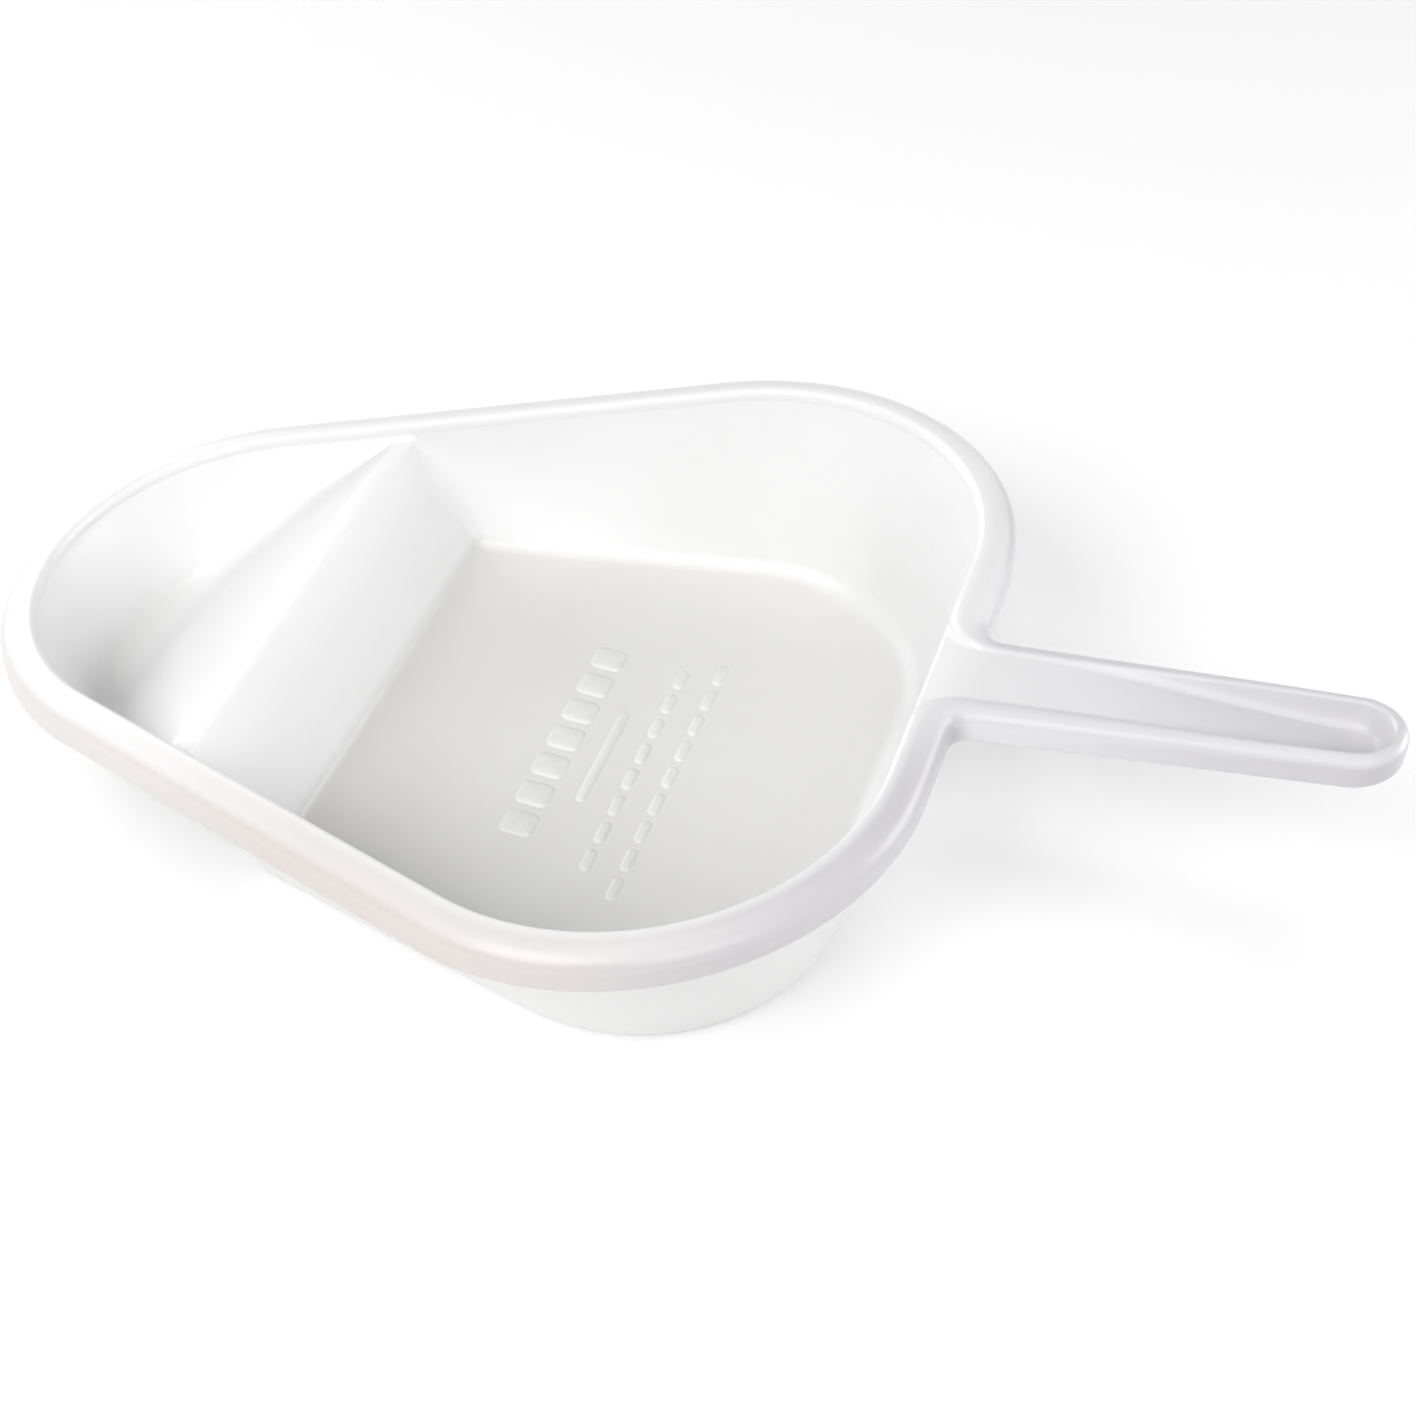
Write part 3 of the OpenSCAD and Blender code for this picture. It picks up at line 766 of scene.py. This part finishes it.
def bar(x, y, length, width):
    """Rings round one bar, one for each step of its edge. A ring is four quarter circles set
    apart, and its radius shrinks by the inset; the first and last rings are a single point."""
    radius = min(width / 2, largest_bar_radius)
    a = np.radians(np.add.outer((0, 90, 180, 270), np.linspace(0, 90, 7)).reshape(-1))
    right = np.repeat((1, -1, -1, 1), 7) * (width / 2 - radius)
    ahead = np.repeat((1, 1, -1, -1), 7) * (length / 2 - radius)
    rings = []
    for inset, share in bar_edge:
        keep = 0.0 if inset > radius else 1.0
        ring = np.stack((right + (radius - inset) * np.cos(a), ahead + (radius - inset) * np.sin(a)))
        height = np.full(len(a), wall + share * bar_height)
        rings.append(np.stack((x + keep * ring[0], y + keep * ring[1], height), 1))
    return np.stack(rings)


bar_points, bar_faces = [], []
for distance, middle, count, pitch, length, width in bar_rows:
    for step in np.arange(count) - (count - 1) / 2:
        rings = bar(nose_x + distance, middle + step * pitch, length, width)
        size = len(rings) * rings.shape[1]
        index = np.arange(size).reshape(rings.shape[:2]) + len(bar_points) * size
        after = np.roll(index, -1, 1)
        bar_faces.append(np.stack((index[:-1], after[:-1], after[1:], index[1:]), -1).reshape(-1, 4))
        bar_points.append(rings.reshape(-1, 3))
points, quads = np.concatenate(bar_points), np.concatenate(bar_faces)
triangles = np.concatenate((quads[:, :3], quads[:, (0, 2, 3)]))
keys, same = np.unique(np.round(points * 1e4).astype(np.int64), axis=0, return_inverse=True)
triangles = same.reshape(-1)[triangles]
triangles = triangles[(triangles != np.roll(triangles, 1, 1)).all(1)]
bars_mesh = bpy.data.meshes.new("floor_bars")
bars_mesh.from_pydata((keys * 1e-4 * MM).tolist(), [], triangles.tolist())
bars_mesh.polygons.foreach_set("use_smooth", np.ones(len(triangles), bool))
bars_mesh.set_sharp_from_angle(angle=math.radians(40))
bars = bpy.data.objects.new("white_floor_bars", bars_mesh)
bpy.context.scene.collection.objects.link(bars)
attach(bars, "root")
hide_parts("floor_bars")


# ---------------------------------------------------------------------------------------------
# Shading across the joins. The real pan is one smooth moulding, so each point's normal is
# averaged over every panel that meets there, and the panels shade as one surface.
# ---------------------------------------------------------------------------------------------
all_keys = np.concatenate([keys for _, keys, _, _ in panels])
unique_keys, where = np.unique(all_keys, axis=0, return_inverse=True)
where = where.reshape(-1)
total = np.zeros((len(unique_keys), 3))
offset = 0
spans = []
for _, keys, triangles, is_skin in panels:
    ids = where[offset:offset + len(keys)]
    offset += len(keys)
    p = keys[triangles] * 1e-4
    cross = np.cross(p[:, 1] - p[:, 0], p[:, 2] - p[:, 0])
    for corner in range(3):
        np.add.at(total, ids[triangles[is_skin, corner]], cross[is_skin])
    spans.append((ids, cross))
total /= np.maximum(np.linalg.norm(total, axis=1, keepdims=True), 1e-12)
for (piece, keys, triangles, is_skin), (ids, cross) in zip(panels, spans):
    flat = cross / np.maximum(np.linalg.norm(cross, axis=1, keepdims=True), 1e-12)
    normals = np.where(is_skin[:, None, None], total[ids[triangles]], flat[:, None])
    mesh = piece.data
    mesh.polygons.foreach_set("use_smooth", np.ones(len(triangles), bool))
    mesh.normals_split_custom_set(normals.reshape(-1, 3).tolist())


# ---------------------------------------------------------------------------------------------
# White polypropylene. A semi-gloss moulded plastic: nearly white, with a faint unevenness in
# tone, a very fine mould grain, and dull hairline scuffs. Painted shade from each panel's
# attribute darkens the base colour; on the rim and handle it carries a painted tint of warm
# light at the front and cool light towards the handle.
# ---------------------------------------------------------------------------------------------
def new_group(name, inputs, outputs):
    """A shader node group with named float inputs and outputs, and its two end nodes."""
    group = bpy.data.node_groups.new(name, "ShaderNodeTree")
    for label, value in inputs:
        socket = group.interface.new_socket(label, in_out="INPUT", socket_type="NodeSocketFloat")
        socket.default_value = value
    for label in outputs:
        group.interface.new_socket(label, in_out="OUTPUT", socket_type="NodeSocketFloat")
    return group, group.nodes.new("NodeGroupInput"), group.nodes.new("NodeGroupOutput")


def math_node(tree, operation, *values):
    """A Math node whose inputs are sockets or plain numbers."""
    node = tree.nodes.new("ShaderNodeMath")
    node.operation = operation
    for socket, value in zip(node.inputs, values):
        if isinstance(value, (int, float)):
            socket.default_value = value
        else:
            tree.links.new(value, socket)
    return node.outputs[0]


def noise(tree, where, scale, detail, rough=0.5):
    """A Noise texture, from 0 to 1, at the places given."""
    node = tree.nodes.new("ShaderNodeTexNoise")
    node.inputs["Scale"].default_value = scale
    node.inputs["Detail"].default_value = detail
    node.inputs["Roughness"].default_value = rough
    tree.links.new(where, node.inputs["Vector"])
    return node.outputs["Fac"]


def grain_group():
    """Mould grain and flow: a fine pebble, a wider ripple left by cooling, and a slow drift."""
    group, given, result = new_group(
        "mould_grain", (("Pebble", 1.0), ("Ripple", 1.0)), ("Height", "Drift"))
    where = group.nodes.new("ShaderNodeTexCoord").outputs["Object"]
    pebble = math_node(group, "MULTIPLY", noise(group, where, 1400, 2), given.outputs["Pebble"])
    ripple = math_node(group, "MULTIPLY", noise(group, where, 60, 2), given.outputs["Ripple"])
    group.links.new(math_node(group, "ADD", pebble, ripple), result.inputs["Height"])
    group.links.new(noise(group, where, 14, 3), result.inputs["Drift"])
    return group


def scuff_group():
    """Hairline scuffs: noise drawn out 30 to 1 along two headings and cut to thin threads."""
    group, given, result = new_group("wipe_scuffs", (("Amount", 1.0),), ("Mask",))
    where = group.nodes.new("ShaderNodeTexCoord").outputs["Object"]
    threads = []
    for heading, seed in ((0.5, 0.0), (-0.9, 7.0)):
        place = group.nodes.new("ShaderNodeMapping")
        place.inputs["Rotation"].default_value = (0, 0, heading)
        place.inputs["Location"].default_value = (seed, seed, 0)
        place.inputs["Scale"].default_value = (25, 750, 250)
        group.links.new(where, place.inputs["Vector"])
        streak = noise(group, place.outputs["Vector"], 1.0, 3, 0.6)
        near = math_node(group, "ABSOLUTE", math_node(group, "SUBTRACT", streak, 0.5))
        threads.append(math_node(group, "MULTIPLY_ADD", near, -40.0, 1.0))
    patches = math_node(group, "MULTIPLY_ADD", noise(group, where, 30, 2), 5.0, -2.3)
    best = math_node(group, "MAXIMUM", *threads)
    clipped = math_node(group, "MAXIMUM", math_node(group, "MULTIPLY", best, patches), 0.0)
    limited = math_node(group, "MINIMUM", clipped, 1.0)
    group.links.new(math_node(group, "MULTIPLY", limited, given.outputs["Amount"]),
                    result.inputs["Mask"])
    return group


mould_grain, wipe_scuffs = grain_group(), scuff_group()


def polypropylene(name, unshaded, painted_shade, rear_shade_tone, dullness, pebble, scuffs):
    """The plastic's material: base colour from the unshaded white towards the painted shade colour
    by the panel's painted shade amount and the slow drift, the painted shade colour itself shifting
    towards the rear, dullness raised by drift and scuffs, and the grain as bump."""
    material = bpy.data.materials.new(name)
    material.use_nodes = True
    tree = material.node_tree
    shader = tree.nodes["Principled BSDF"]
    grain = tree.nodes.new("ShaderNodeGroup")
    grain.node_tree = mould_grain
    grain.inputs["Pebble"].default_value = pebble
    grain.inputs["Ripple"].default_value = 1.0
    marks = tree.nodes.new("ShaderNodeGroup")
    marks.node_tree = wipe_scuffs
    marks.inputs["Amount"].default_value = scuffs
    # Reads the painted shade amount of each point.
    depth = tree.nodes.new("ShaderNodeAttribute")
    depth.attribute_name = "painted_shade"
    drift = math_node(tree, "MULTIPLY_ADD", grain.outputs["Drift"], 0.5, -0.25)
    tone = tree.nodes.new("ShaderNodeMix")
    tone.data_type = "RGBA"
    tone.clamp_factor = False
    tone.inputs["A"].default_value = (*unshaded, 1)
    # Painted tint: the shade colour moves from its front tint to its rear tint by the rearward
    # share.
    shift = tree.nodes.new("ShaderNodeMix")
    shift.data_type = "RGBA"
    shift.inputs["A"].default_value = (*painted_shade, 1)
    shift.inputs["B"].default_value = (*rear_shade_tone, 1)
    rearward = tree.nodes.new("ShaderNodeAttribute")
    rearward.attribute_name = "rearward"
    tree.links.new(rearward.outputs["Fac"], shift.inputs["Factor"])
    tree.links.new(shift.outputs["Result"], tone.inputs["B"])
    tree.links.new(math_node(tree, "ADD", depth.outputs["Fac"], drift), tone.inputs["Factor"])
    tree.links.new(tone.outputs["Result"], shader.inputs["Base Color"])
    drifted = math_node(tree, "MULTIPLY_ADD", grain.outputs["Drift"], 0.10, dullness - 0.05)
    tree.links.new(math_node(tree, "MULTIPLY_ADD", marks.outputs["Mask"], 0.22, drifted),
                   shader.inputs["Roughness"])
    bump = tree.nodes.new("ShaderNodeBump")
    bump.inputs["Strength"].default_value = 0.35
    bump.inputs["Distance"].default_value = 0.0001
    tree.links.new(grain.outputs["Height"], bump.inputs["Height"])
    tree.links.new(bump.outputs["Normal"], shader.inputs["Normal"])
    shader.inputs["IOR"].default_value = 1.49
    return material


# Unshaded white, and the neutral colour that painted shade darkens it towards.
unshaded_tone, shade_tone = (0.86, 0.86, 0.86), (0.74, 0.735, 0.73)
# Painted shade tints: warm, standing in for warm light at the front, and cool, for cool light by the
# handle.
warm_shade_tone, cool_shade_tone = (0.760, 0.736, 0.728), (0.735, 0.73, 0.745)
wall_white = polypropylene("polypropylene_wall", unshaded_tone, shade_tone, shade_tone, 0.30, 0.5, 0.5)
edge_white = polypropylene("polypropylene_edge", unshaded_tone, warm_shade_tone, cool_shade_tone, 0.30, 0.5, 0.5)
floor_white = polypropylene("polypropylene_floor", unshaded_tone, shade_tone, shade_tone, 0.42, 1.0, 1.0)
for piece, *_ in panels:
    if piece.name in ("white_basin_floor", "white_scoop_floor"):
        piece.data.materials.append(floor_white)
    elif "rim" in piece.name or "handle" in piece.name:
        piece.data.materials.append(edge_white)
    else:
        piece.data.materials.append(wall_white)
# The bars carry an even painted shade, a little lighter than the floor's around them.
bars_mesh.attributes.new("painted_shade", "FLOAT", "POINT").data.foreach_set(
    "value", np.full(len(bars_mesh.vertices), bar_painted_shade))
bars_mesh.materials.append(floor_white)


# ---------------------------------------------------------------------------------------------
# Room. A round pale floor under the pan and five soft light banks two metres away: a high pair in
# front, brighter on the nose's side, a low pair behind and one overhead. The room around is seen
# as white, but gives off little light itself. The floor shows nothing from below, so that the
# pan's underside can be seen.
# ---------------------------------------------------------------------------------------------
floor_mesh = bpy.data.meshes.new("studio_floor")
floor_radius, floor_sides, below = 1.85, 128, -0.00005
turn_round = np.linspace(0, 2 * math.pi, floor_sides + 1)[:-1]
floor_ring = np.stack((floor_radius * np.cos(turn_round), floor_radius * np.sin(turn_round),
                       np.full(floor_sides, below)), 1)
floor_mesh.from_pydata(floor_ring.tolist(), [], [tuple(range(floor_sides))])
floor = bpy.data.objects.new("studio_floor", floor_mesh)
bpy.context.scene.collection.objects.link(floor)
paper = bpy.data.materials.new("studio_paper")
paper.use_nodes = True
tree = paper.node_tree
paper_shader = tree.nodes["Principled BSDF"]
paper_shader.inputs["Base Color"].default_value = (0.93, 0.93, 0.93, 1)
paper_shader.inputs["Roughness"].default_value = 0.9
paper_shader.inputs["Emission Color"].default_value = (1, 1, 1, 1)
paper_shader.inputs["Emission Strength"].default_value = 0.06
from_below = tree.nodes.new("ShaderNodeNewGeometry").outputs["Backfacing"]
nothing = tree.nodes.new("ShaderNodeBsdfTransparent").outputs[0]
see_through = tree.nodes.new("ShaderNodeMixShader")
for socket, given in zip(see_through.inputs, (from_below, paper_shader.outputs[0], nothing)):
    tree.links.new(given, socket)
tree.links.new(see_through.outputs[0], tree.nodes["Material Output"].inputs["Surface"])
floor_mesh.materials.append(paper)

# Bearing from the front round by the handle, height above the horizon, and power of each bank
banks = {
    "front_handle_bank": (30, 42, 15),
    "front_nose_bank": (-30, 42, 24),
    "back_handle_bank": (120, 15, 26),
    "back_nose_bank": (-120, 15, 21),
    "overhead_bank": (0, 90, 10),
}
bank_distance, bank_size = 2.0, 1.2
for name, (bearing, height, power) in banks.items():
    a, e = math.radians(bearing), math.radians(height)
    aim = Vector((math.sin(a) * math.cos(e), -math.cos(a) * math.cos(e), math.sin(e)))
    data = bpy.data.lights.new(name, "AREA")
    data.size = bank_size
    data.energy = power
    lamp = bpy.data.objects.new(name, data)
    lamp.location = aim * bank_distance
    lamp.rotation_euler = aim.to_track_quat("Z", "Y").to_euler()
    lamp.visible_camera = False
    bpy.context.scene.collection.objects.link(lamp)

world = bpy.data.worlds.new("studio")
bpy.context.scene.world = world
world.use_nodes = True
room = world.node_tree
background = room.nodes["Background"]
background.inputs["Color"].default_value = (1, 1, 1, 1)
glow = 0.02
seen = room.nodes.new("ShaderNodeLightPath").outputs["Is Camera Ray"]
room.links.new(math_node(room, "MULTIPLY_ADD", seen, 1 - glow, glow), background.inputs["Strength"])
bpy.context.scene.view_settings.view_transform = "Standard"
